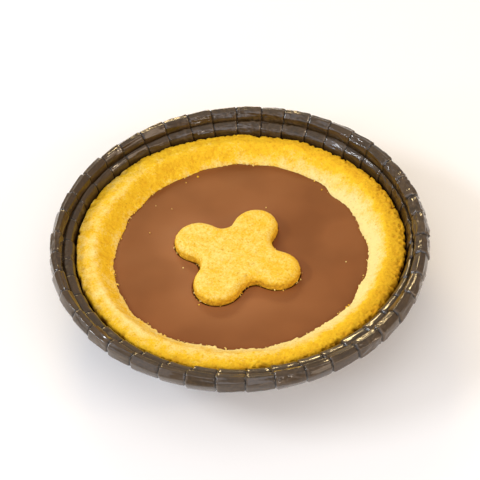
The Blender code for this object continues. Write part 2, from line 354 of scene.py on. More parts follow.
def add_node(
    tree: bpy.types.NodeTree,
    kind: str,
    values: Mapping[str | int, object] | None = None,
    links: Mapping[str | int, bpy.types.NodeSocket] | None = None,
    **settings: object,
) -> bpy.types.Node:
    """Add a node to a material with its settings, input values and links.

    Args:
        tree: the node tree.
        kind: the node's type, such as "ShaderNodeTexNoise".
        values: constant inputs, by name or number.
        links: linked inputs, by name or number, with the socket that feeds each.
        settings: the node's own properties.

    Returns:
        The new node.
    """
    node = tree.nodes.new(kind)
    for name, value in settings.items():
        setattr(node, name, value)
    for socket, value in (values or {}).items():
        node.inputs[socket].default_value = value
    for socket, source in (links or {}).items():
        tree.links.new(source, node.inputs[socket])
    return node


def blank_material(name: str) -> tuple[bpy.types.Material, bpy.types.NodeTree]:
    """Make a material with an empty node tree.

    Args:
        name: the material's name.

    Returns:
        The material and its tree.
    """
    material = bpy.data.materials.new(name)
    material.use_nodes = True
    material.node_tree.nodes.clear()
    return material, material.node_tree


# Socket numbers of the Mix node when it mixes colours
MIX_FACTOR, MIX_A, MIX_B, MIX_RESULT = 0, 6, 7, 2


@dataclass(frozen=True)
class CoatedPaper:
    """Brown baking paper with a clear heat-proof coating, pressed and rolled.

    The coating gives crisp window highlights over a soft sheen, the paper a warm grey brown with a
    cloudy fibre pattern. Folds are paler on their free edges and wrinkle tops, from wear and a painted
    highlight, and painted shade darkens the creases.
    """

    name: str = "coated_brown_paper"
    paper: str = "49351b"
    cloudy: str = "34250f"
    # Paler brown of worn free edges and wrinkle tops, partly a painted highlight
    wear_and_highlight: str = "7a6349"
    # Near black painted into each crease as shade
    crease_shade: str = "080402"
    roughness: float = 0.35
    specular: float = 0.2
    coat: float = 1.0
    coat_ior: float = 1.5
    coat_roughness: float = 0.07
    # Fibre clouds are about 0.5 mm in such paper, drawn twice as coarse so that they show
    fibre_mm: float = 1.0
    # The rolled paper is streaked along the roll: width, length and depth of a streak
    streak_mm: tuple[float, float] = (0.7, 5.0)
    streak_depth_mm: float = 0.16
    # Where the cloudy colour starts and is full, on the sum of the fibre clouds and the streaks
    mottle: tuple[float, float] = (0.75, 1.25)

    def material(self) -> bpy.types.Material:
        """Build the material from the marks crease_shade (painted shade), wear_and_highlight (wear and a
        painted highlight), tone, crinkle, across and along.

        Returns:
            The material.
        """
        material, tree = blank_material(self.name)
        place = add_node(tree, "ShaderNodeTexCoord").outputs["Object"]
        crease_shade, wear_and_highlight, tone, crinkle, across, along = [
            add_node(tree, "ShaderNodeAttribute", attribute_name=name).outputs["Fac"]
            for name in ("crease_shade", "wear_and_highlight", "tone", "crinkle", "across", "along")
        ]
        fibres = {"Scale": 1 / (self.fibre_mm * MM), "Detail": 3.0}
        clouds = add_node(tree, "ShaderNodeTexNoise", fibres, {"Vector": place})
        sheet = add_node(tree, "ShaderNodeCombineXYZ", links={"X": across, "Y": along})
        stretch = {"Scale": (1 / self.streak_mm[0], 1 / self.streak_mm[1], 1.0)}
        rolled = add_node(tree, "ShaderNodeMapping", stretch, {"Vector": sheet.outputs["Vector"]})
        streaks = add_node(
            tree,
            "ShaderNodeTexNoise",
            {"Scale": 1.0, "Detail": 2.0, "Roughness": 0.5},
            {"Vector": rolled.outputs["Vector"]},
        )
        patterns = {0: clouds.outputs["Fac"], 1: streaks.outputs["Fac"]}
        both = add_node(tree, "ShaderNodeMath", links=patterns, operation="ADD")
        reach = {"From Min": self.mottle[0], "From Max": self.mottle[1]}
        mottled = add_node(tree, "ShaderNodeMapRange", reach, {"Value": both.outputs[0]})
        toned = {0: mottled.outputs["Result"], 1: tone}
        share = add_node(tree, "ShaderNodeMath", links=toned, operation="MULTIPLY")
        ends = {MIX_A: linear(self.paper), MIX_B: linear(self.cloudy)}
        colour = add_node(tree, "ShaderNodeMix", ends, {MIX_FACTOR: share.outputs[0]}, data_type="RGBA")
        # Paler wear with a painted highlight on the free edges, then painted shade in the creases
        for over, mark in ((self.wear_and_highlight, wear_and_highlight), (self.crease_shade, crease_shade)):
            under = {MIX_FACTOR: mark, MIX_A: colour.outputs[MIX_RESULT]}
            colour = add_node(tree, "ShaderNodeMix", {MIX_B: linear(over)}, under, data_type="RGBA")
        bump = add_node(
            tree,
            "ShaderNodeBump",
            {"Distance": self.streak_depth_mm * MM},
            {"Height": streaks.outputs["Fac"], "Strength": crinkle},
        )
        shader = add_node(
            tree,
            "ShaderNodeBsdfPrincipled",
            {
                "Roughness": self.roughness,
                "Specular IOR Level": self.specular,
                "Coat Weight": self.coat,
                "Coat IOR": self.coat_ior,
                "Coat Roughness": self.coat_roughness,
            },
            {
                "Base Color": colour.outputs[MIX_RESULT],
                "Normal": bump.outputs["Normal"],
                "Coat Normal": bump.outputs["Normal"],
            },
        )
        add_node(tree, "ShaderNodeOutputMaterial", links={"Surface": shader.outputs["BSDF"]})
        return material


@dataclass(frozen=True)
class BakedDough:
    """Shortcrust and shortbread: dry, sandy baked dough, pressed or cut before baking.

    The eye sees a matt cream to golden yellow that deepens where the oven reached, and on the shell
    where painted shade falls on a side, with clouds of colour a few millimetres wide, darker toasted
    grains and painted shade in the pits between them.
    """

    name: str
    pale: str
    golden: str
    toasted: str
    # Colour of painted shade in hollows, bites and the outer flank, and of darker crumbs
    shade_and_tone: str
    speck: str
    roughness: float = 0.8
    cloud_mm: float = 3.4
    cloud_share: float = 1.1
    # Grains of such dough are about 0.3 mm, drawn twice as coarse so that they show
    grain_mm: float = 0.6
    grain_share: float = 0.9
    fleck_mm: float = 1.5
    # The pale crumb is golden once the bake reaches the first value, and toasted at the second
    turns_golden: float = 0.6
    turns_toasted: float = 1.8
    # Where on its noise a toasted fleck or a dark grain starts and is full, and how much shows then
    fleck_range: tuple[float, float] = (0.5, 0.72)
    toasted_share: float = 0.5
    speck_range: tuple[float, float] = (0.62, 0.72)
    speck_share: float = 0.6
    grain_depth_mm: float = 0.12

    def material(self) -> bpy.types.Material:
        """Build the material from the marks bake_and_shade and shade_and_tone, which carry painted shade.

        Returns:
            The material.
        """
        material, tree = blank_material(self.name)
        place = add_node(tree, "ShaderNodeTexCoord").outputs["Object"]
        bake_and_shade, shade_and_tone = [
            add_node(tree, "ShaderNodeAttribute", attribute_name=name).outputs["Fac"]
            for name in ("bake_and_shade", "shade_and_tone")
        ]
        # Size in mm, detail and roughness of each noise
        noises = ((self.cloud_mm, 3.0, 0.6), (self.grain_mm, 2.0, 0.65), (self.fleck_mm, 2.0, 0.6))
        clouds, grains, flecks = [
            add_node(
                tree,
                "ShaderNodeTexNoise",
                {"Scale": 1 / (size * MM), "Detail": detail, "Roughness": roughness},
                {"Vector": place},
            ).outputs["Fac"]
            for size, detail, roughness in noises
        ]
        # Clouds and grains, each with a mean of 0.5, shift the bake by up to half their share either way
        middle = -(self.cloud_share + self.grain_share) / 2
        baked = add_node(tree, "ShaderNodeMath", {1: middle}, {0: bake_and_shade}, operation="ADD").outputs[0]
        for share, noise in ((self.cloud_share, clouds), (self.grain_share, grains)):
            terms = {0: noise, 2: baked}
            baked = add_node(tree, "ShaderNodeMath", {1: share}, terms, operation="MULTIPLY_ADD").outputs[0]
        # What each change of colour follows, where it starts and is full, and how much shows then
        changes = (
            (baked, 0.0, self.turns_golden, 1.0),
            (baked, self.turns_golden, self.turns_toasted, 1.0),
            (flecks, *self.fleck_range, self.toasted_share),
            (grains, *self.speck_range, self.speck_share),
        )
        golden, toasted, flecked, specked = [
            add_node(
                tree,
                "ShaderNodeMapRange",
                {"From Min": low, "From Max": full, "To Max": most},
                {"Value": source},
            ).outputs["Result"]
            for source, low, full, most in changes
        ]
        # Flecks show only where the crumb is baked
        shares = {0: flecked, 1: golden}
        fleck = add_node(tree, "ShaderNodeMath", links=shares, operation="MULTIPLY").outputs[0]
        ends = {MIX_A: linear(self.pale), MIX_B: linear(self.golden)}
        colour = add_node(tree, "ShaderNodeMix", ends, {MIX_FACTOR: golden}, data_type="RGBA")
        # The last layer is painted shade
        layers = ((self.toasted, toasted), (self.toasted, fleck), (self.speck, specked), (self.shade_and_tone, shade_and_tone))
        for over, share in layers:
            under = {MIX_FACTOR: share, MIX_A: colour.outputs[MIX_RESULT]}
            colour = add_node(tree, "ShaderNodeMix", {MIX_B: linear(over)}, under, data_type="RGBA")
        bump = add_node(
            tree,
            "ShaderNodeBump",
            {"Strength": 0.7, "Distance": self.grain_depth_mm * MM},
            {"Height": grains},
        )
        shader = add_node(
            tree,
            "ShaderNodeBsdfPrincipled",
            {"Roughness": self.roughness, "Specular IOR Level": 0.25},
            {"Base Color": colour.outputs[MIX_RESULT], "Normal": bump.outputs["Normal"]},
        )
        add_node(tree, "ShaderNodeOutputMaterial", links={"Surface": shader.outputs["BSDF"]})
        return material


@dataclass(frozen=True)
class MilkChocolate:
    """Set milk chocolate cream, poured warm and levelled: an even brown with a soft satin sheen.

    Faint clouds show where it set at different speeds, a pool of light beside the biscuit is painted
    paler, and tiny dimples dull the sheen a little.
    """

    name: str = "milk_chocolate_cream"
    brown: str = "884f22"
    deep: str = "7b4417"
    # Paler brown of the painted pool of light beside the biscuit
    lit_brown: str = "9c6236"
    roughness: float = 0.5
    cloud_mm: float = 17.0
    # Where on their noise the browner clouds start and are full
    cloud_range: tuple[float, float] = (0.38, 0.66)
    dimple_mm: float = 1.1
    dimple_depth_mm: float = 0.02

    def material(self) -> bpy.types.Material:
        """Build the material from the mark painted_light, a pool of painted light.

        Returns:
            The material.
        """
        material, tree = blank_material(self.name)
        place = add_node(tree, "ShaderNodeTexCoord").outputs["Object"]
        painted_light = add_node(tree, "ShaderNodeAttribute", attribute_name="painted_light").outputs["Fac"]
        # Size in mm, detail and roughness of each noise
        clouds, dimples = [
            add_node(
                tree,
                "ShaderNodeTexNoise",
                {"Scale": 1 / (size * MM), "Detail": detail, "Roughness": roughness},
                {"Vector": place},
            ).outputs["Fac"]
            for size, detail, roughness in ((self.cloud_mm, 2.0, 0.4), (self.dimple_mm, 3.0, 0.5))
        ]
        reach = {"From Min": self.cloud_range[0], "From Max": self.cloud_range[1]}
        patches = add_node(tree, "ShaderNodeMapRange", reach, {"Value": clouds}).outputs["Result"]
        ends = {MIX_A: linear(self.deep), MIX_B: linear(self.brown)}
        body = add_node(tree, "ShaderNodeMix", ends, {MIX_FACTOR: patches}, data_type="RGBA")
        # Painted light: paler brown beside the biscuit
        under = {MIX_FACTOR: painted_light, MIX_A: body.outputs[MIX_RESULT]}
        surface = add_node(tree, "ShaderNodeMix", {MIX_B: linear(self.lit_brown)}, under, data_type="RGBA")
        bump = add_node(
            tree,
            "ShaderNodeBump",
            {"Strength": 0.4, "Distance": self.dimple_depth_mm * MM},
            {"Height": dimples},
        )
        shader = add_node(
            tree,
            "ShaderNodeBsdfPrincipled",
            {"Roughness": self.roughness, "Specular IOR Level": 0.3},
            {"Base Color": surface.outputs[MIX_RESULT], "Normal": bump.outputs["Normal"]},
        )
        add_node(tree, "ShaderNodeOutputMaterial", links={"Surface": shader.outputs["BSDF"]})
        return material


SHORTCRUST = BakedDough(
    "baked_shortcrust", "f8e190", "f5c522", "d8960a", "a05e06", "a07010", speck_share=0.35
)
SHORTBREAD = BakedDough(
    "baked_shortbread", "f7de7c", "f3c230", "d99a10", "a05e06", "c08c18", grain_share=1.5, fleck_mm=1.0
)


def dress(piece: bpy.types.Object, material: bpy.types.Material, slot: Slot, *nodes: str) -> None:
    """Give a piece its material and body, and let it stand for the solids that it replaces.

    Args:
        piece: the new piece.
        material: its finish.
        slot: the record's slot for that finish; not used.
        nodes: the solids that it replaces.
    """
    piece.data.materials.append(material)
    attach(piece, BODY)
    if nodes:
        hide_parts(*nodes)


def arc(
    radius: float, height: float, half_width: float, half_height: float, degrees: Sequence[float]
) -> list[tuple[float, float]]:
    """Points of an upright oval.

    Args:
        radius: the oval's distance from the axis.
        height: the height of its middle.
        half_width: half its width.
        half_height: half its height.
        degrees: where the points lie round it, from 0 at its outer side.

    Returns:
        The points as (radius, height).
    """
    turns = np.radians(degrees)
    return [(radius + half_width * math.cos(t), height + half_height * math.sin(t)) for t in turns]


@dataclass
class PaperCase:
    """The pleated case: paper folded round a disc, its wall flared and its rim rolled outwards.

    Each fold starts proud at its free edge, runs almost straight and ends low under the next one.
    A flat band runs between the pastry and the rolled rim, and the pastry pushes it outwards.

    Attributes:
        shell: the pastry that sits in the case.
    """

    shell: "PastryShell"
    rim_radius: float = 60.0
    height: float = 22.1
    base_radius: float = 48.0
    paper: float = 0.8
    roll_half_width: float = 2.2
    roll_half_height: float = 2.95
    band_radius: float = 52.2
    band_height: float = 13.4
    band_width: float = 3.4
    band_rise: float = 5.1
    # The rim is not quite round or level
    spread: Waves = ((0, 0.3, 0), (1, 0.72, 76), (2, 0.45, 172), (3, 0.3, 180))
    tilt: Waves = ((0, -0.15, 0), (1, 0.3, -90))
    groove_shift: Waves = ((1, 0.5, 180),)
    foot_radius: float = 46.8
    foot_height: float = 1.6
    foot_chamfer: float = 0.9

    folds: int = 42
    fold_phase: float = math.radians(3.3)
    fold_jitter: float = math.radians(0.5)
    fold_drifts: Waves = ((1, math.radians(0.75), 172), (2, math.radians(0.63), -67))
    fold_step: float = 0.34
    fold_uneven: float = 0.12
    seed: int = 42

    fold_columns: int = 20
    crowding: float = 0.86
    proud: float = 0.2
    groove: float = 0.2
    groove_width: float = 0.26
    edge_width: float = 0.34
    lean: float = 0.06
    # The rolled paper breaks into flat strips along the roll, other ones in each fold
    strip_turn: float = math.radians(54)
    strip_twist: float = math.radians(14)
    strip_radius: float = 2.8
    strip_rise: float = 0.15
    band_tilt: float = 0.5
    # Sharp ridges along the rolled paper: width across the roll, length and height, all in mm
    ridges: tuple[tuple[float, float, float], ...] = ((3.0, 13.0, 0.14), (1.3, 6.0, 0.09))
    # A ridge stands this share of its height over the paper, falls off this steeply beside it, and
    # fades out at the creases by this power of a sine
    ridge_top: float = 0.6
    ridge_fall: float = 3.0
    ridge_fade: float = 0.4
    # Folds lie this far apart in the ridges' noise, and ten times as far in that of the streaks
    fold_apart: float = 7.3
    # The paper was crinkled most at the far right
    crinkled: Waves = ((0, 0.55, 0), (1, 0.32, -55))
    # Crushed spots, the size of their wrinkles in mm, and the wrinkles' top and fall as for ridges
    crushes: Spots = Spots(0.2, 13.0, 0.1, 0.5)
    crush_size: float = 1.9
    crush_top: float = 0.5
    crush_fall: float = 2.5

    # Painted shade in each crease: how far before it and after it in mm, and how dark
    crease_before: float = 0.28
    crease_after: float = 0.22
    crease_shade_depth: float = 0.9
    # The coating is paler in a line along each free edge, from wear and a painted highlight: how much,
    # how far in and how wide, in mm
    wear_and_highlight_share: float = 0.22
    wear_and_highlight_place: float = 0.5
    wear_and_highlight_width: float = 0.2
    # How much paler the tops of the crushed wrinkles are: wear and a painted highlight
    wrinkle_top_highlight: float = 2.5
    # Each fold shows the cloudy colour by a share of its own
    tones: tuple[float, float] = (0.6, 1.4)

    def creases(self) -> np.ndarray:
        """Where each fold starts: evenly round, with a slow drift and a little jitter.

        Returns:
            The angle of each crease.
        """
        draws = random.Random(self.seed)
        even = np.arange(self.folds) * TURN / self.folds
        jitter = np.array([draws.uniform(-self.fold_jitter, self.fold_jitter) for _ in range(self.folds)])
        return even + self.fold_phase + drift(self.fold_drifts, even) + jitter

    def profile(self) -> np.ndarray:
        """The section from the case's floor up the inside, over the rolled rim and down the outside.

        Returns:
            Rows of radius, height, then the shares of the folds' relief, of the rim's spread, of
            the groove's shift, of the pastry's push and of the roll's flat strips.
        """
        radius, height, width, rise = self.band_radius, self.band_height, self.band_width, self.band_rise
        middle, half_up = (self.foot_radius + radius) / 2, (self.foot_height + height) / 2
        # radius, height, folds, spread, groove, push, strips; then the rows up to the next point
        inside = [
            (self.foot_radius - self.foot_chamfer, self.paper, 0.0, 0.0, 0.0, 0.0, 0.0, 2),
            (self.foot_radius, self.foot_height, 0.3, 0.0, 0.0, 0.0, 0.0, 4),
            (middle, half_up, 0.8, 0.0, 0.0, 0.5, 0.0, 5),
            (radius, height, 1.0, 0.0, 0.0, 1.0, 0.0, 3),
            (radius + 0.05 * width, height + 0.43 * rise, 1.0, 0.0, 0.0, 1.0, 0.0, 3),
            (radius + 0.2 * width, height + 0.75 * rise, 1.0, 0.0, 0.0, 0.9, 0.0, 4),
            (radius + 0.44 * width, height + 0.92 * rise, 1.0, 0.3, 0.2, 0.6, 0.0, 4),
            (radius + 0.76 * width, height + rise, 1.0, 0.8, 0.8, 0.2, 0.0, 3),
            (radius + 0.92 * width, height + 0.97 * rise, 0.8, 1.0, 1.0, 0.0, 0.0, 3),
            (radius + width, height + 0.84 * rise, 0.4, 1.0, 1.0, 0.0, 0.0, 4),
        ]
        turns = (170, 140, 115, 90, 60, 30, 0, -30, -60, -90, -125)
        groove = (1.0, 0.8, 0.5, 0.2) + (0.0,) * 7
        rows = (4, 4, 4, 5, 5, 5, 5, 5, 4, 4, 3)
        half_width, half_height = self.roll_half_width, self.roll_half_height
        roll = arc(self.rim_radius - half_width, self.height - half_height, half_width, half_height, turns)
        rolled = [
            (*point, 1.0, 1.0, shift, 0.0, 1.0, count) for point, shift, count in zip(roll, groove, rows)
        ]
        paper = self.paper
        outside = [
            (radius + 0.87 * width, height + 0.66 * rise, 0.3, 1.0, 0.0, 0.3, 0.0, 3),
            (radius + 2.2 * paper, height + 1.2 * paper, 0.6, 0.7, 0.0, 0.6, 0.0, 8),
            (middle + paper, half_up - paper / 2, 0.8, 0.0, 0.0, 0.5, 0.0, 6),
            (self.base_radius, self.foot_height, 0.3, 0.0, 0.0, 0.0, 0.0, 2),
            (self.base_radius - self.foot_chamfer / 2, paper / 2, 0.0, 0.0, 0.0, 0.0, 0.0, 1),
            (self.base_radius - self.foot_chamfer - paper / 2, 0.0, 0.0, 0.0, 0.0, 0.0, 0.0, 0),
        ]
        table = np.array(inside + rolled + outside)
        return flowing(table[:, :-1], table[:-1, -1].astype(int))

    def fold_relief(
        self,
        across: np.ndarray,
        share: np.ndarray,
        fold: np.ndarray,
        length: np.ndarray,
        crinkle: np.ndarray,
    ) -> np.ndarray:
        """How far the paper lies off the section, in mm, with a mean near zero.

        From one crease to the next: a rise from the groove to the proud free edge, a straight fall
        by the step, and a narrow groove before the next crease. On top come ridges along the roll,
        other ones in each fold: a ridge stands where stretched noise passes through zero. They fade
        out at the creases.

        Args:
            across: distance along the section, by row.
            share: place in the fold from 0 to 1, by column.
            fold: the fold's number, by column.
            length: the fold's length, by column.
            crinkle: how strong the ridges are, by row and column.

        Returns:
            The relief, by row and column.
        """
        draws = random.Random(self.seed + 1)
        uneven = np.array([draws.uniform(-self.fold_uneven, self.fold_uneven) for _ in range(self.folds)])
        after, before = share * length, (1 - share) * length
        edge = (self.fold_step + self.groove) * hump(after, self.edge_width)
        gap = self.groove * hump(before, self.groove_width)
        steps = uneven[fold] + self.proud - self.fold_step * share - edge - gap
        flat = np.stack(np.broadcast_arrays(across[:, None], after, self.fold_apart * fold), axis=-1)
        grain = Grain(self.seed + 2)
        ridges = 0.0
        for width, reach, height in self.ridges:
            noise = np.abs(grain.at(flat, (width, reach, 1.0)))
            ridges = ridges + height * (self.ridge_top - self.ridge_fall * noise)
        return steps + ridges * crinkle * np.sin(math.pi * share) ** self.ridge_fade

    def strips(self, profile: np.ndarray, share: np.ndarray, fold: np.ndarray) -> np.ndarray:
        """How far the flat strips of the roll and of the band lie off the smooth section.

        A flat strip of a many-sided shape lies inside its circle by
        radius * (1 - cos(half its turn) / cos(turn from its middle)). On the band each fold tilts by
        an amount of its own.

        Args:
            profile: the section, by row.
            share: place in the fold from 0 to 1, by column.
            fold: the fold's number, by column.

        Returns:
            The relief, by row and column.
        """
        draws = np.random.default_rng(self.seed + 6)
        start, twist, tilt = draws.uniform(-1, 1, (3, self.folds))
        down, along = np.gradient(profile[:, 1]), np.gradient(profile[:, 0])
        bend = np.unwrap(np.arctan2(along, -down))[:, None]
        turn = bend + self.strip_turn * start[fold] / 2 + self.strip_twist * twist[fold] * (share - 0.5)
        off = turn % self.strip_turn - self.strip_turn / 2
        flat = self.strip_rise - self.strip_radius * (1 - math.cos(self.strip_turn / 2) / np.cos(off))
        middle = self.band_radius + self.band_width / 2
        beside = np.clip((profile[:, :1] - middle) / self.band_width, -0.5, 0.5)
        rolled = profile[:, -1:]
        return rolled * flat + (1 - rolled) * self.band_tilt * tilt[fold] * beside

    def crushed(self, rings: np.ndarray) -> np.ndarray:
        """Wrinkles in scattered spots: ridges where noise passes through zero, kept by coarser noise.

        Args:
            rings: points in mm.

        Returns:
            The relief in mm.
        """
        grain = Grain(self.seed + 5)
        spots = self.crushes.depth * self.crushes.share(grain, rings)
        wrinkles = np.abs(grain.at(rings + self.crushes.size, self.crush_size))
        return spots * (self.crush_top - self.crush_fall * wrinkles)

    def build(self) -> bpy.types.Object:
        """Turn the section round the axis, add the folds and dress the piece.

        Returns:
            The finished piece.
        """
        profile = self.profile()
        across = np.append(0.0, np.cumsum(stretches(profile)))
        starts = self.creases()
        ends = np.append(starts[1:], starts[0] + TURN)
        even = (np.arange(self.fold_columns) + 0.5) / self.fold_columns
        inside_fold = even - self.crowding * np.sin(TURN * even) / TURN
        share = np.tile(inside_fold, self.folds)
        fold = np.repeat(np.arange(self.folds), self.fold_columns)
        length = (ends - starts)[fold] * self.rim_radius
        leans = np.random.default_rng(self.seed + 3).uniform(-self.lean, self.lean, self.folds)
        lean = leans[fold] * (1 - share) + np.roll(leans, -1)[fold] * share
        angles = starts[fold] + (ends - starts)[fold] * share
        angles = angles + lean * (across[:, None] - across.mean()) / self.rim_radius
        columns = [np.broadcast_to(column[:, None], angles.shape) for column in profile.T]
        radius, height, strength, spread, groove, push, _ = columns
        radius = radius + spread * drift(self.spread, angles) + groove * drift(self.groove_shift, angles)
        radius = radius + push * self.shell.edge_shift(angles)
        height = height + spread * drift(self.tilt, angles)
        rings = np.stack([radius * np.cos(angles), radius * np.sin(angles), height], axis=-1)
        surface = RingSurface("pleated_case", rings)
        crushed = self.crushed(rings)
        crinkle = drift(self.crinkled, angles)
        relief = self.fold_relief(across, share, fold, length, crinkle) + self.strips(profile, share, fold)
        surface.push(strength * (relief + crushed))
        after, before = share * length, (1 - share) * length
        tones = np.random.default_rng(self.seed + 4).uniform(*self.tones, self.folds)
        # Painted shade darkens the paper either side of each crease
        crease_shading = hump(before, self.crease_before) + hump(after, self.crease_after)
        # Wear and a painted highlight along each free edge and on the tops of the crushed wrinkles
        wear_and_highlight = self.wear_and_highlight_share * hump(after - self.wear_and_highlight_place, self.wear_and_highlight_width)
        surface.marks = {
            "crease_shade": strength * crease_shading * self.crease_shade_depth,
            "wear_and_highlight": strength * (wear_and_highlight + self.wrinkle_top_highlight * np.maximum(crushed, 0.0)),
            "tone": tones[fold],
            "crinkle": crinkle,
            "across": across[:, None],
            "along": after + 10 * self.fold_apart * fold,
        }
        piece = surface.build()
        dress(piece, CoatedPaper().material(), Slot.PAPER, "paper_case")
        return piece


@dataclass
class PastryShell:
    """The shortcrust shell: an uneven crest, a wandering inner lip and a crumbly outer edge."""

    offset: float = 0.35
    edge_radius: float = 51.75
    edge_height: float = 15.0
    crest_radius: float = 46.8
    crest_height: float = 16.3
    floor: float = 5.0
    underside: float = 1.1
    fill_radius: float = 40.5
    fill_height: float = 11.6
    foot_radius: float = 45.65
    flare: float = 6.0 / 13.2
    foot_height: float = 1.6
    seed: int = 7

    columns: int = 1180
    lumps: Swells = Swells(0.14, 6.0, 11.0)
    # The crumb: depth, how much deeper it is on the sandy outer band, size and how fine layers fade
    crumb: float = 0.12
    sandy: float = 0.12
    crumb_size: float = 1.1
    crumb_fade: float = 0.9
    ribs: float = 0.2
    rib_size: tuple[float, float, float] = (1.1, 1.1, 7.0)
    pits: Spots = Spots(0.1, 1.3, 0.35, 0.9, 31.0)
    bites: Spots = Spots(0.4, (2.4, 2.4, 9.0), 0.1, 0.6, 57.0)
    nibbles: Spots = Spots(1.0, (1.2, 1.2, 5.0), 0.0, 0.5, 63.0)
    # Ragged points lie this far above the chocolate and reach this far up and down
    ragged: Spots = Spots(0.5, (1.0, 1.0, 2.5), 0.05, 0.8, 71.0)
    ragged_rise: float = 0.2
    ragged_reach: float = 0.7
    # The pastry was pressed in by hand, in slow waves
    edge_drifts: Waves = ((0, 0.3, 0), (1, 0.42, -155), (2, 0.45, 23), (3, 0.4, -44))
    lip_drifts: Waves = ((0, 0.3, 0), (1, 0.33, 142), (2, 0.25, -124), (3, 0.5, 89))
    # Finer waves: how often each sine repeats in a turn, and the size of the whole
    lip_wave: tuple[tuple[int, ...], float] = ((5, 8, 13, 17, 23), 0.36)
    crest_wave: tuple[tuple[int, ...], float] = ((3, 7, 12, 19, 29), 0.22)
    edge_wave: tuple[tuple[int, ...], float] = ((4, 11, 17, 26, 35), 0.16)
    # Bulges over the filling: direction in degrees and reach
    bulges: tuple[tuple[float, float], ...] = ((38, 0.9), (9, 1.0))
    bulge_width: float = math.radians(4.5)

    # What each side adds to the bake, with painted shade on the front of the outer edge: the outer edge
    # all round, its front, and one direction on it
    rim_bake: float = 0.25
    rim_front_bake_and_shade: float = 0.45
    rim_turn_bake: float = 0.15
    rim_turn: float = math.radians(60)
    # The far side of all but the outer edge, that of the inner wall as painted shade, and the front of
    # all but the wall
    far_bake: float = 0.2
    far_wall_shade: float = 0.18
    front_bake: float = 0.05
    # The right side, partly painted shade, and how much less of it the inner wall shows: painted shade
    # on the left of the inner wall and painted light on its right
    right_bake_and_shade: float = 0.28
    wall_side_shade: float = 0.65
    # A browner patch at the front right, off the inner wall: size, direction and half width in radians
    patch_bake: float = 0.25
    patch_turn: float = -0.6
    patch_width: float = 0.6
    patchy: Swells = Swells(0.2, 5.0, 23.0)
    # Painted shade: how much the pits between grains, the sandy ones, the bites and the flank are darkened
    grain_shade: float = 0.15
    sandy_shade: float = 0.3
    bite_shade: float = 0.3
    flank_shade: float = 0.8
    flank_top: float = 0.7
    flank_fade: float = 1.4

    def lip(self, angles: np.ndarray) -> np.ndarray:
        """How far the inner edge wanders in and out, with bulges that lean over the filling.

        Args:
            angles: directions.

        Returns:
            The way outwards in mm for each angle.
        """
        wave = circle_wave(self.seed, *self.lip_wave)(angles) + drift(self.lip_drifts, angles)
        for direction, reach in self.bulges:
            wave = wave - reach * hump(turned(angles - math.radians(direction)), self.bulge_width)
        return wave

    def edge_shift(self, angles: np.ndarray) -> np.ndarray:
        """How far the outer edge lies outside its own circle round the case's axis."""
        return self.offset * np.cos(angles) + drift(self.edge_drifts, angles)

    def flank_radius(self, height: float) -> float:
        """The outer side's radius at a height."""
        return self.foot_radius + self.flare * (height - self.foot_height)

    def section(self) -> np.ndarray:
        """The section from the shell's floor up the inside, over the crest and down the outside.

        Returns:
            Rows of radius, height, the shares of the lip, crest and edge waves, then how much of the
            crumb shows, the inner wall's share, the bake, and the outer edge's share.
        """
        drop = self.fill_height - self.floor
        rise = self.crest_height - self.fill_height
        run = self.crest_radius - self.fill_radius
        width = self.edge_radius - self.crest_radius
        # radius, height, lip, crest, edge, crumb, wall, bake, rim; then the rows up to the next point
        table = [
            (self.fill_radius - 4.0, self.floor, 0, 0, 0, 0, 0, 0.2, 0, 2),
            (self.fill_radius - 2.0, self.floor + 0.2 * drop, 0.3, 0, 0, 0, 0, 0.2, 0, 2),
            (self.fill_radius - 0.9, self.floor + 0.62 * drop, 0.8, 0, 0, 0.5, 0.5, 0.2, 0, 6),
            (self.fill_radius, self.fill_height, 1, 0, 0, 1, 1, 0.0, 0, 9),
            (self.fill_radius + 0.3 * run, self.fill_height + 0.36 * rise, 0.8, 0.2, 0, 1, 1, 0.22, 0, 9),
            (self.fill_radius + 0.6 * run, self.fill_height + 0.7 * rise, 0.5, 0.6, 0, 1, 0.8, 0.38, 0, 7),
            (self.fill_radius + 0.84 * run, self.fill_height + 0.93 * rise, 0.3, 1, 0, 1, 0.4, 0.45, 0, 4),
            (self.crest_radius, self.crest_height, 0.1, 1, 0, 1, 0.1, 0.5, 0, 8),
            (self.crest_radius + 0.4 * width, self.crest_height, 0, 1, 0.2, 1, 0, 0.66, 0.1, 7),
            (self.crest_radius + 0.75 * width, self.crest_height - 0.15, 0, 0.8, 0.6, 1, 0, 0.62, 0.5, 5),
            (self.edge_radius - 0.3, self.edge_height + 0.7, 0, 0.5, 1, 1, 0, 0.55, 1, 5),
            (self.edge_radius, self.edge_height - 0.1, 0, 0, 1, 1, 0, 0.5, 1, 9),
            (self.flank_radius(8.0), 8.0, 0, 0, 0.3, 0.6, 0, 0.7, 0.2, 5),
            (self.flank_radius(2.6), 2.6, 0, 0, 0, 0.2, 0, 0.7, 0, 2),
            (self.flank_radius(1.6) - 0.8, self.underside, 0, 0, 0, 0, 0, 0.7, 0, 0),
        ]
        return flowing(np.array(table)[:, :-1], [line[-1] for line in table[:-1]])

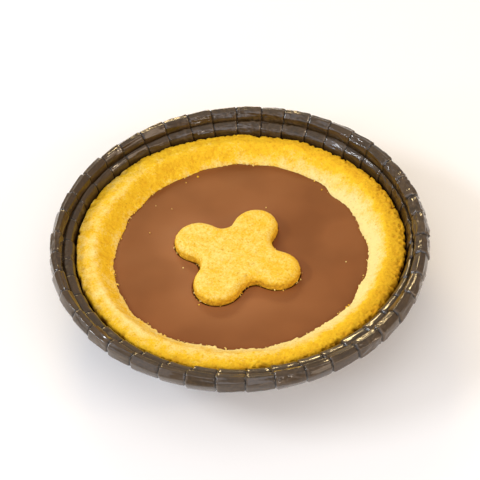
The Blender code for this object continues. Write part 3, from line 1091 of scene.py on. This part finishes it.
    def bake_and_side_shade(self, angles: np.ndarray, wall: np.ndarray, rim: np.ndarray) -> np.ndarray:
        """How much more each side is baked than the section says, with painted light and shade by side.

        Cosines and half cosines towards the right, the front and the far side, each on its own part
        of the section, and a hump at the front right. They paint the inner wall darker on its left and far
        side and paler on its right, where light and shade fall.

        Args:
            angles: directions, by column.
            wall: the inner wall's share, by row.
            rim: the outer edge's share, by row.

        Returns:
            The bake and painted shade to add, by row and column.
        """
        near, far = np.maximum(-np.sin(angles), 0.0), np.maximum(np.sin(angles), 0.0)
        side = self.far_bake * np.sin(angles) * (1 - rim)
        side = side + (self.right_bake_and_shade - self.wall_side_shade * wall) * np.cos(angles)
        turning = self.rim_turn_bake * np.cos(angles - self.rim_turn)
        side = side + rim * (self.rim_bake + turning + self.rim_front_bake_and_shade * near)
        side = side + self.far_wall_shade * wall * far + self.front_bake * near * (1 - wall)
        patch = hump(turned(angles - self.patch_turn), self.patch_width)
        return side + self.patch_bake * (1 - wall) * patch

    def build(self) -> bpy.types.Object:
        """Turn the section round the axis, work the crumb into it and dress the piece.

        The crumb is noise along the normals: soft lumps, two layers of grain that are deeper on the
        sandy outer band, pits where a coarser noise is high, upright ribs on the inner wall, bites
        out of the outer edge, and ragged points where the wall meets the chocolate.

        Returns:
            The finished piece.
        """
        angles, around = compass(self.columns)
        columns = [column[:, None] for column in self.section().T]
        radius, height, lip, crest, edge, crumb, wall, bake_and_shade, rim = columns
        crest_wave = circle_wave(self.seed + 1, *self.crest_wave)(angles)
        edge_wave = circle_wave(self.seed + 2, *self.edge_wave)(angles)
        radius = radius + lip * self.lip(angles) + edge * (edge_wave + drift(self.edge_drifts, angles))
        height = height + crest * crest_wave
        flat = radius[..., None] * around + (self.offset, 0.0)
        rings = np.concatenate([flat, np.broadcast_to(height, radius.shape)[..., None]], axis=-1)
        grain = Grain(self.seed)
        fine = grain.layers(rings, self.crumb_size, 2, self.crumb_fade)
        hollows, bites, nibbles, points = [
            spots.share(grain, rings) for spots in (self.pits, self.bites, self.nibbles, self.ragged)
        ]
        band = (1 - wall) * (0.5 + 0.5 * np.cos(angles))
        relief = self.lumps.at(grain, rings) - self.pits.depth * hollows
        relief = relief + (self.crumb + self.sandy * band) * fine
        relief = relief + self.ribs * wall * grain.at(rings, self.rib_size)
        relief = relief - rim * (self.bites.depth * bites + self.nibbles.depth * (band * nibbles))
        at_filling = hump(height - self.fill_height - self.ragged_rise, self.ragged_reach)
        relief = relief + self.ragged.depth * (at_filling * (radius < self.crest_radius)) * points
        surface = RingSurface("pastry_shell", rings)
        surface.push(crumb * relief)
        # Painted shade on the outer flank, in the gap beside the paper, and in the pits and bites
        flank = smooth(self.edge_height + self.flank_top - height, 0.0, self.flank_fade)
        flank = flank * (radius > self.crest_radius)
        shade_and_tone = (self.grain_shade + self.sandy_shade * band) * smooth(-fine, 0.1, 0.8)
        shade_and_tone = shade_and_tone + self.bite_shade * rim * bites + self.flank_shade * flank
        surface.marks = {
            # The bake carries painted light and shade by side
            "bake_and_shade": bake_and_shade + self.bake_and_side_shade(angles, wall, rim) + self.patchy.at(grain, rings),
            "shade_and_tone": np.clip(shade_and_tone, 0.0, 1.0),
        }
        piece = surface.build()
        dress(piece, SHORTCRUST.material(), Slot.PASTRY, "crust")
        return piece


@dataclass
class Biscuit:
    """The shortbread biscuit: four round lobes on a round middle, cut with one cutter."""

    centre: tuple[float, float] = (-1.2, -3.7)
    level: float = 11.6
    middle: tuple[float, float] = (0.2, 0.5)
    middle_radius: float = 11.8
    # Direction in degrees, reach and radius of each lobe
    lobes: tuple[tuple[float, float, float], ...] = (
        (62.5, 21.7, 7.1),
        (146.5, 22.0, 7.5),
        (240.0, 20.5, 7.6),
        (332.0, 21.4, 7.1),
    )
    blend: float = 1.45
    furthest: float = 30.0
    halvings: int = 24
    proud: float = 3.7
    sunk: float = 1.0
    seed: int = 5

    columns: int = 540
    top_rows: int = 76
    # The innermost ring's share of the way out
    innermost: float = 0.01
    edge_width: float = 2.6
    edge_share: float = 0.3
    lumps: Swells = Swells(0.1, 7.0, 13.0)
    crumb: float = 0.06
    side_crumb: float = 0.2
    # The side turns sandy below one share of the biscuit's height and is fully so below the other
    sandy_from: float = 0.8
    sandy_full: float = 0.4
    crumb_size: float = 1.0
    crumb_fade: float = 0.9
    pits: Spots = Spots(0.06, 1.2, 0.35, 0.9, 41.0)
    # The bake of the top, and what the sandy side, the browner end and the patches add to it
    top_bake: float = 0.4
    side_bake: float = 0.6
    end_bake: float = 0.15
    patchy: Swells = Swells(0.15, 5.0, 29.0)
    # The biscuit is browner towards this side
    browner_way: tuple[float, float] = (0.94, -0.34)
    # Painted shade: how much the grain, the pits and the sandy side are darkened
    grain_shade: float = 0.2
    pit_shade: float = 0.25
    side_shade: float = 0.35

    def outline(self, angles: np.ndarray, grow: float | np.ndarray = 0.0) -> np.ndarray:
        """Radius of the outline round the biscuit's own centre.

        Each disc fades with distance past its edge as exp(-distance / blend), and the outline is
        where the sum over all discs falls to 1. It is found by halving along each ray.

        Args:
            angles: directions of the rays.
            grow: how much larger every disc is.

        Returns:
            The radius for each angle.
        """
        discs = [(*self.middle, self.middle_radius)]
        for direction, reach, lobe in self.lobes:
            turn = math.radians(direction)
            discs.append(((reach - lobe) * math.cos(turn), (reach - lobe) * math.sin(turn), lobe))
        near = np.zeros(np.broadcast(angles, grow).shape)
        far = near + self.furthest
        for _ in range(self.halvings):
            radius = (near + far) / 2
            flat_x, flat_y = radius * np.cos(angles), radius * np.sin(angles)
            away = [np.hypot(flat_x - x, flat_y - y) - disc for x, y, disc in discs]
            inside = sum(np.exp((grow - distance) / self.blend) for distance in away) > 1
            near, far = np.where(inside, radius, near), np.where(inside, far, radius)
        return far

    def build(self) -> bpy.types.Object:
        """Spread rings over the top and carry them down the side to the foot.

        On the top, a point's height is a quarter oval of its distance to the outline. The rings
        crowd towards the edge, where the oval is steep.

        Returns:
            The finished piece.
        """
        edge_height = self.edge_share * self.proud
        angles, around = compass(self.columns)
        rim = around * self.outline(angles)[:, None]
        share = np.sin(np.linspace(self.innermost, 1.0, self.top_rows) * math.pi / 2)
        flat = rim * share[:, None, None]
        inwards = np.stack([np.linalg.norm(ring[:, None] - rim, axis=-1).min(-1) for ring in flat])
        falling = 1 - np.clip(inwards / self.edge_width, 0.0, 1.0)
        top = edge_height + (self.proud - edge_height) * np.sqrt(1 - falling**2)
        # Down the side: how far outside the outline, and the height
        foot = (-0.9, -self.sunk)
        down = np.array([(0.0, edge_height), (0.0, 0.1), (-0.25, -0.6 * self.sunk), foot])
        line = flowing(down, (7, 5, 3))[1:]
        side = around * self.outline(angles, line[:, :1])[..., None]
        height = np.vstack([top, np.broadcast_to(line[:, 1:], (len(line), self.columns))])
        place = np.concatenate([flat, side]) + self.centre
        rings = np.concatenate([place, self.level + height[..., None]], axis=-1)
        grain = Grain(self.seed)
        fine = grain.layers(rings, self.crumb_size, 2, self.crumb_fade)
        hollow = self.pits.share(grain, rings)
        buried = smooth(-height, 0.0, self.sunk)
        sandy = smooth(-height, -self.sandy_from * self.proud, -self.sandy_full * self.proud)
        depth = (self.crumb + self.side_crumb * sandy) * (1 - buried)
        relief = self.lumps.at(grain, rings) + depth * fine
        relief = relief - self.pits.depth * hollow * (1 - buried)
        surface = RingSurface("shortbread_biscuit", rings)
        surface.push(relief * (1 - buried))
        beyond = place - self.centre
        edge = np.clip((beyond @ self.browner_way) / self.furthest, -1.0, 1.0)
        # Painted shade in the hollows of the crumb and on the sandy side
        shade_and_tone = self.grain_shade * smooth(-fine, 0.15, 0.8) + self.pit_shade * hollow
        shade_and_tone = shade_and_tone + self.side_shade * sandy * smooth(-fine, -0.2, 0.2)
        bake_and_shade = self.top_bake + self.side_bake * sandy + self.end_bake * edge
        surface.marks = {"bake_and_shade": bake_and_shade + self.patchy.at(grain, rings), "shade_and_tone": np.clip(shade_and_tone, 0.0, 1.0)}
        piece = surface.build()
        dress(piece, SHORTBREAD.material(), Slot.BISCUIT, "cookie")
        return piece


@dataclass
class Filling:
    """The chocolate: it fills the shell up to a level, swells softly and holds the biscuit.

    Attributes:
        shell: the shell whose inner edge it meets.
        biscuit: the biscuit that sits in it.
    """

    shell: PastryShell
    biscuit: Biscuit
    # The biscuit touches its pocket on one side and stands off on the other
    pocket_gap: float = 0.6
    least_gap: float = 0.05
    touching_side: float = math.radians(60)
    pocket_depth: float = 0.3
    swell: tuple[tuple[int, ...], float] = ((1, 2, 3, 5), 0.12)
    ripple: Swells = Swells(0.1, 11.0)
    shrink: float = 0.3
    shrink_width: float = 0.9
    under_crust: float = 0.45
    # Rings below the top: inset from the wall in mm, share of the depth and of the lip's wave
    wall_gap: float = 0.55
    below: tuple[tuple[float, float, float], ...] = ((0.9, 0.38, 0.8), (2.0, 0.8, 0.3), (4.0, 0.95, 0.0))
    # The painted pool of light beside the biscuit is strongest on its left, and lies off it at the front
    light_reach: float = 8.0
    light_all: float = 0.4
    light_left: float = 0.6
    left_turn: float = math.radians(170)
    light_front: float = 0.6
    front_turn: float = math.radians(-75)
    front_width: float = 0.5
    front_away: float = 0.8
    columns: int = 720
    rows: int = 64
    seed: int = 19

    def build(self) -> bpy.types.Object:
        """Spread rings from the biscuit's outline to the shell's inner edge, and close them below.

        The height is the level plus a slow swell half way out, soft ripples, and a shrunk rim
        where the chocolate drew in from the crust as it set.

        Returns:
            The finished piece.
        """
        shell, biscuit = self.shell, self.biscuit
        level, floor = shell.fill_height, shell.floor
        angles, around = compass(self.columns)
        centre = np.array(biscuit.centre)
        apart = 0.5 - 0.5 * np.cos(angles - self.touching_side)
        gap = self.least_gap + (self.pocket_gap - self.least_gap) * apart
        rim = centre + around * biscuit.outline(angles, gap)[:, None]
        foot = centre + around * biscuit.outline(angles, gap / 2)[:, None]
        lip = shell.lip(angles)
        outer = around * (shell.fill_radius + self.under_crust + lip)[:, None] + (shell.offset, 0.0)
        share = np.linspace(0.0, 1.0, self.rows)[:, None, None]
        flat = rim + (outer - rim) * share
        swell = circle_wave(self.seed, *self.swell)(angles) * np.sin(math.pi * share[..., 0])
        inwards = np.linalg.norm(outer - flat, axis=-1)
        places = np.concatenate([flat, np.full(flat.shape[:2] + (1,), level)], axis=-1)
        drawn_in = self.shrink * hump(inwards, self.shrink_width)
        places[..., 2] += swell + self.ripple.at(Grain(self.seed), places) - drawn_in
        pocket = np.column_stack([foot, np.full(self.columns, level - biscuit.sunk - self.pocket_depth)])
        below = []
        for inset, down, wave in self.below:
            reach = shell.fill_radius - self.wall_gap - inset + wave * lip
            ring = around * reach[:, None] + (shell.offset, 0.0)
            below.append(np.column_stack([ring, np.full(self.columns, level - down * (level - floor))]))
        # A pool of light painted onto the chocolate beside the biscuit
        beyond = np.linalg.norm(flat - rim, axis=-1) / self.light_reach
        side = np.clip(self.light_all + self.light_left * np.cos(angles - self.left_turn), 0.0, 1.0)
        front = self.light_front * hump(turned(angles - self.front_turn), self.front_width)
        painted_light = side * hump(beyond, 1.0) + front * hump(beyond - self.front_away, 1.0)
        rings = np.concatenate([[pocket], places, below])
        ends = np.repeat(painted_light[-1:], len(below), axis=0)
        surface = RingSurface("chocolate_filling", rings)
        surface.marks = {"painted_light": np.concatenate([painted_light[:1], painted_light, ends])}
        piece = surface.build()
        dress(piece, MilkChocolate().material(), Slot.CHOCOLATE, "filling")
        return piece


@dataclass
class Crumbs:
    """Loose crumbs of the dough, lying on the chocolate, along the shell's lip and by the biscuit.

    Attributes:
        shell: the shell that shed them.
        biscuit: the biscuit that shed them.
    """

    shell: PastryShell
    biscuit: Biscuit
    along_lip: int = 110
    by_biscuit: int = 55
    # How far they scatter outwards from the lip and from the biscuit's outline
    lip_scatter: tuple[float, float] = (-0.75, 0.5)
    biscuit_scatter: tuple[float, float] = (0.0, 0.7)
    # Radii: the usual one, their spread as a logarithm, and the smallest and largest
    usual_radius: float = 0.16
    radius_spread: float = 0.5
    radius_range: tuple[float, float] = (0.08, 0.42)
    # The middle lies this share of the radius above the chocolate
    lift: float = 0.45
    stretch: tuple[float, float] = (0.65, 1.2)
    dents: tuple[float, float] = (0.7, 1.3)
    most_bake: float = 0.5
    most_pit: float = 0.25
    # Loose ones on the chocolate, as x, y and radius
    loose: tuple[tuple[float, float, float], ...] = (
        (9.4, 19.1, 0.3),
        (-29.0, 10.7, 0.22),
        (-12.7, 35.9, 0.32),
        (28.4, 26.0, 0.25),
        (-13.7, -21.9, 0.34),
        (-16.8, 33.3, 0.22),
        (-27.0, 23.1, 0.2),
        (-21.7, 21.2, 0.18),
        (-18.4, -5.8, 0.26),
        (-20.9, 3.7, 0.2),
        (33.3, -7.4, 0.2),
    )
    seed: int = 83

    def places(self, draws: np.random.Generator) -> tuple[np.ndarray, np.ndarray]:
        """Where the crumbs lie and how large they are.

        Args:
            draws: the seeded generator.

        Returns:
            Centres in mm, one a row, and radii in mm.
        """
        level = self.shell.fill_height
        turn = draws.uniform(0, TURN, self.along_lip)
        reach = self.shell.fill_radius + self.shell.lip(turn)
        reach = reach + draws.uniform(*self.lip_scatter, self.along_lip)
        lip = np.column_stack([reach * np.cos(turn) + self.shell.offset, reach * np.sin(turn)])
        turn = draws.uniform(0, TURN, self.by_biscuit)
        reach = self.biscuit.outline(turn) + draws.uniform(*self.biscuit_scatter, self.by_biscuit)
        near = np.column_stack([reach * np.cos(turn), reach * np.sin(turn)]) + self.biscuit.centre
        loose = np.array(self.loose)
        flat = np.vstack([lip, near, loose[:, :2]])
        count = self.along_lip + self.by_biscuit
        small = draws.lognormal(math.log(self.usual_radius), self.radius_spread, count)
        sizes = np.append(np.clip(small, *self.radius_range), loose[:, 2])
        return np.column_stack([flat, level + self.lift * sizes]), sizes

    def build(self) -> bpy.types.Object:
        """Copy one rounded crumb to every place, each turned, stretched and dented at random.

        Returns:
            The finished piece.
        """
        draws = np.random.default_rng(self.seed)
        centres, sizes = self.places(draws)
        count = len(sizes)
        model = bmesh.new()
        bmesh.ops.create_icosphere(model, subdivisions=2, radius=1.0)
        round_one = np.array([corner.co for corner in model.verts])
        faces = np.array([[corner.index for corner in face.verts] for face in model.faces])
        model.free()
        turns, _ = np.linalg.qr(draws.normal(size=(count, 3, 3)))
        turns *= np.sign(np.linalg.det(turns))[:, None, None]
        shaped = round_one * draws.uniform(*self.stretch, (count, 1, 3))
        shaped *= draws.uniform(*self.dents, (count, len(round_one), 1))
        points = centres[:, None] + sizes[:, None, None] * np.einsum("nij,nvj->nvi", turns, shaped)
        joined = (faces + len(round_one) * np.arange(count)[:, None, None]).reshape(-1, 3)
        # On the crumbs the marks are a random bake and a random darker tone
        marks = {
            name: np.repeat(draws.uniform(0.0, most, count), len(round_one))
            for name, most in (("bake_and_shade", self.most_bake), ("shade_and_tone", self.most_pit))
        }
        piece = make_piece("pastry_crumbs", points.reshape(-1, 3), joined.tolist(), marks)
        dress(piece, SHORTCRUST.material(), Slot.PASTRY)
        return piece


@dataclass(frozen=True)
class Panel:
    """One soft light: a glowing rectangle aimed at the tartlet.

    Attributes:
        name: the light's name.
        place: its middle, in metres.
        width: its width in metres.
        height: its height in metres.
        watts: its power.
        colour: its colour as sRGB hex.
    """

    name: str
    place: tuple[float, float, float]
    width: float
    height: float
    watts: float
    colour: str

    def build(self) -> bpy.types.Object:
        """Hang the panel in its place, turned to the tartlet.

        Returns:
            The light.
        """
        light = bpy.data.lights.new(self.name, "AREA")
        light.shape = "RECTANGLE"
        light.size, light.size_y = self.width, self.height
        light.energy = self.watts
        light.color = linear(self.colour)[:3]
        panel = bpy.data.objects.new(self.name, light)
        panel.location = self.place
        panel.rotation_euler = (-Vector(self.place)).to_track_quat("-Z", "Y").to_euler()
        bpy.context.scene.collection.objects.link(panel)
        return panel


@dataclass
class Studio:
    """A pale table top in a bright room: broad soft lights overhead, in front and on both sides.

    Small bright panels make the glints: cool ones on the left, warm ones in front, behind and on the
    right.
    """

    table_size: float = 4.0
    table_colour: str = "fcfbfa"
    sky: str = "fff9f5"
    sky_strength: float = 0.45
    panels: tuple[Panel, ...] = (
        Panel("overhead", (0.0, 0.0, 1.5), 2.0, 2.0, 4.1, "fffcf8"),
        Panel("front", (0.0, -1.2, 0.9), 1.2, 0.8, 5.2, "eef3ff"),
        Panel("left_front", (-0.9, -0.6, 0.6), 0.9, 0.9, 2.6, "e8f0ff"),
        Panel("right_front", (0.95, -0.6, 0.5), 0.8, 0.6, 4.4, "ffe6cc"),
        Panel("window_left", (-0.88, 0.06, 0.6), 0.4, 0.07, 4.0, "f4f8ff"),
        Panel("window_low", (-1.0, -0.3, 0.3), 0.12, 0.08, 1.2, "d4e4ff"),
        Panel("glint_front", (0.25, -1.1, 0.12), 0.2, 0.05, 0.6, "fff0e0"),
        Panel("glint_behind", (-0.16, 0.96, 0.5), 0.4, 0.1, 4.0, "ffe0a4"),
        Panel("glint_right", (0.95, -0.3, 0.5), 0.1, 0.09, 1.0, "ffe6c0"),
    )

    def build(self) -> None:
        """Lay the table top, light it and set how light becomes picture values."""
        half = self.table_size / 2
        mesh = bpy.data.meshes.new("table_top")
        corners = [(-half, -half, 0.0), (half, -half, 0.0), (half, half, 0.0), (-half, half, 0.0)]
        mesh.from_pydata(corners, [], [(0, 1, 2, 3)])
        table = bpy.data.objects.new("table_top", mesh)
        material, tree = blank_material("pale_table")
        shader = add_node(
            tree,
            "ShaderNodeBsdfPrincipled",
            {"Base Color": linear(self.table_colour), "Roughness": 0.6, "Specular IOR Level": 0.2},
        )
        add_node(tree, "ShaderNodeOutputMaterial", links={"Surface": shader.outputs["BSDF"]})
        mesh.materials.append(material)
        bpy.context.scene.collection.objects.link(table)
        world = bpy.data.worlds.new("pale_room")
        world.use_nodes = True
        background = world.node_tree.nodes["Background"]
        background.inputs["Color"].default_value = linear(self.sky)
        background.inputs["Strength"].default_value = self.sky_strength
        bpy.context.scene.world = world
        for panel in self.panels:
            panel.build()
        bpy.context.scene.view_settings.view_transform = "Standard"


@dataclass(frozen=True)
class PhotoCamera:
    """The camera: half way up to overhead, turned a little about its line of sight."""

    elevation: float = math.radians(45.65)
    roll: float = math.radians(-3.43)
    distance: float = 0.450
    aim_height: float = 0.019
    sensor: float = 36.0
    lens: float = 106.56
    frame_pixels: int = 480
    aim_pixel: tuple[float, float] = (239.2, 235.3)
    nearest: float = 0.01

    def build(self) -> bpy.types.Object:
        """Place the camera and make it the scene's.

        Returns:
            The camera.
        """
        back = Vector((0, -math.cos(self.elevation), math.sin(self.elevation)))
        up = Vector((0, math.sin(self.elevation), math.cos(self.elevation)))
        right = Vector((1, 0, 0))
        x_axis = right * math.cos(self.roll) + up * math.sin(self.roll)
        y_axis = up * math.cos(self.roll) - right * math.sin(self.roll)
        data = bpy.data.cameras.new("photo_camera")
        data.sensor_width = self.sensor
        data.lens = self.lens
        data.shift_x = (self.frame_pixels / 2 - self.aim_pixel[0]) / self.frame_pixels
        data.shift_y = (self.aim_pixel[1] - self.frame_pixels / 2) / self.frame_pixels
        data.clip_start = self.nearest
        camera = bpy.data.objects.new("photo_camera", data)
        turn = Matrix((x_axis, y_axis, back)).transposed().to_4x4()
        aim = Vector((0, 0, self.aim_height))
        camera.matrix_world = Matrix.Translation(back * self.distance + aim) @ turn
        bpy.context.scene.collection.objects.link(camera)
        bpy.context.scene.camera = camera
        return camera


def main() -> None:
    """Build the tartlet piece by piece, then the studio and the camera."""
    shell = PastryShell()
    biscuit = Biscuit()
    for part in (PaperCase(shell), shell, Filling(shell, biscuit), biscuit, Crumbs(shell, biscuit)):
        piece = part.build()
        LOG.info("%s: %d faces", piece.name, len(piece.data.polygons))
    Studio().build()
    PhotoCamera().build()


if __name__ == "__main__":
    logging.basicConfig(level=logging.INFO)
    main()
